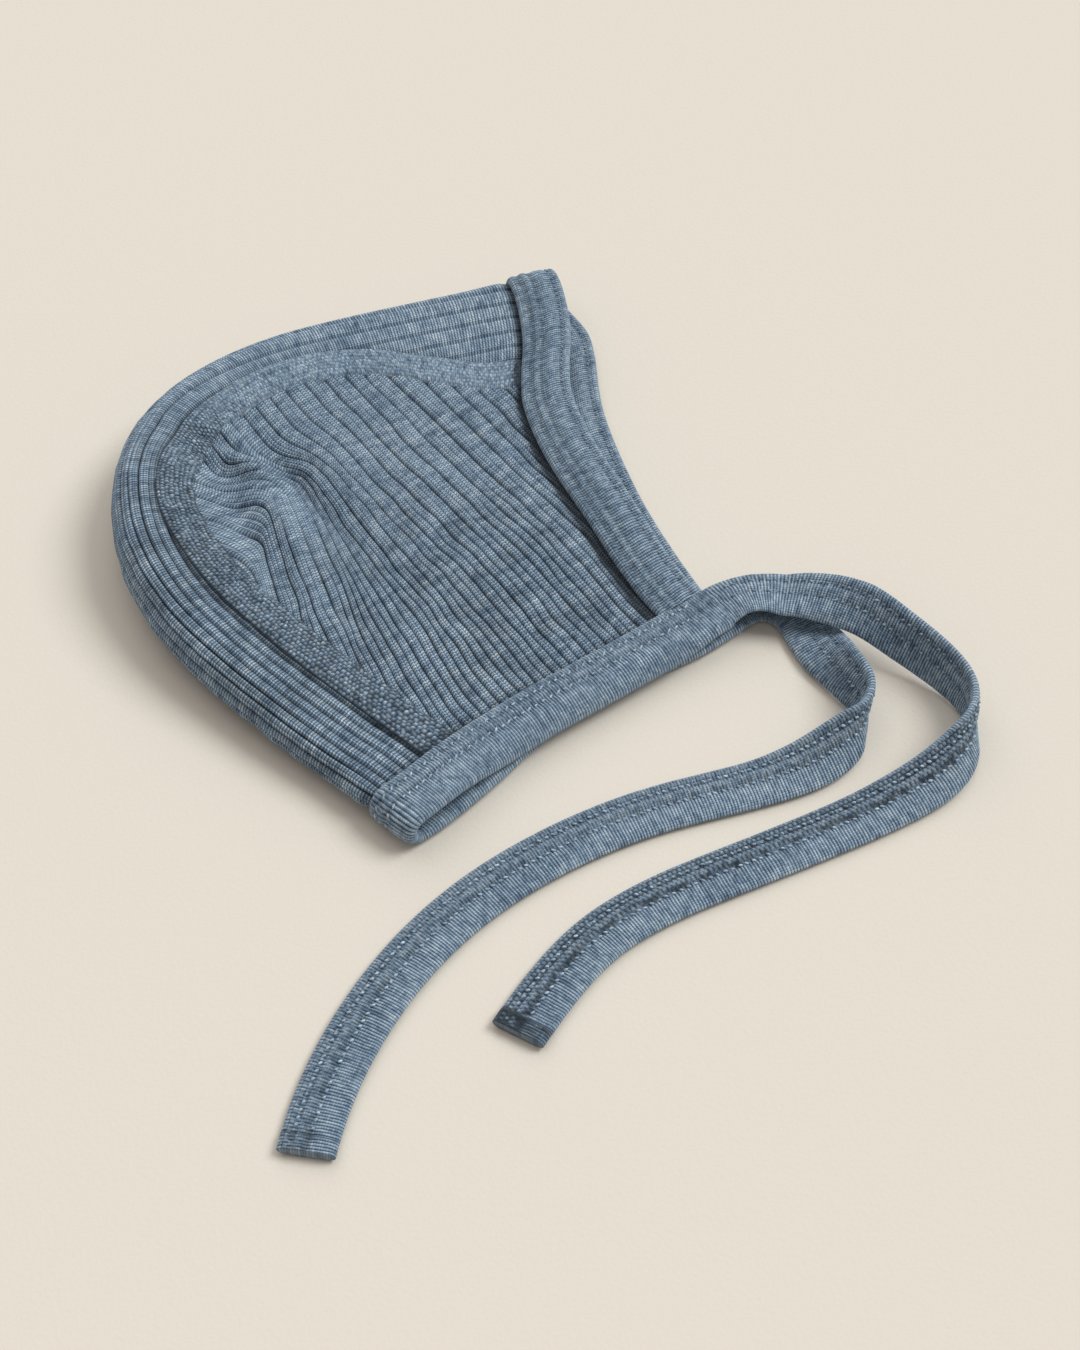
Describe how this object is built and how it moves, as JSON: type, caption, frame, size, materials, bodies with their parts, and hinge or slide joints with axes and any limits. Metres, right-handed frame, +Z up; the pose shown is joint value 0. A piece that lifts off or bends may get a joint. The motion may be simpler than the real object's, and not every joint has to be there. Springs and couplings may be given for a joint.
{
  "type": "baby bonnet",
  "caption": "Rib-knit baby bonnet with a folded centre panel, wide flat seams, bound face and neck edges, and a flat tie at each chin corner, laid flat on its side.",
  "frame": {"origin": "On the table under the lower side panel, 36 mm from the nape along X and 69 mm along Y: a point on the flat underside of side_panel_left.", "axes": "+X from the back of the head to the face opening, +Y from the neck edge to the top of the head, +Z up from the table, out of the upper side panel."},
  "size_m": [0.1974, 0.2408, 0.0221],
  "materials": {
    "rib_knit": "wide rib knit in heathered blue-grey wool, matt with a light fuzz",
    "seam_knit": "wide flat seam with small close stitches, heathered blue-grey, matt",
    "band_knit": "folded band of fine rib knit with two rows of topstitching, heathered blue-grey, matt"
  },
  "bodies": {
    "root": {"centre_panel": "rib_knit", "side_panel_right": "rib_knit", "side_panel_left": "rib_knit", "seam_band_right": "seam_knit", "seam_band_left": "seam_knit", "face_binding": "band_knit", "neck_binding": "band_knit", "tie_right": "band_knit", "tie_left": "band_knit"}
  },
  "joints": []
}
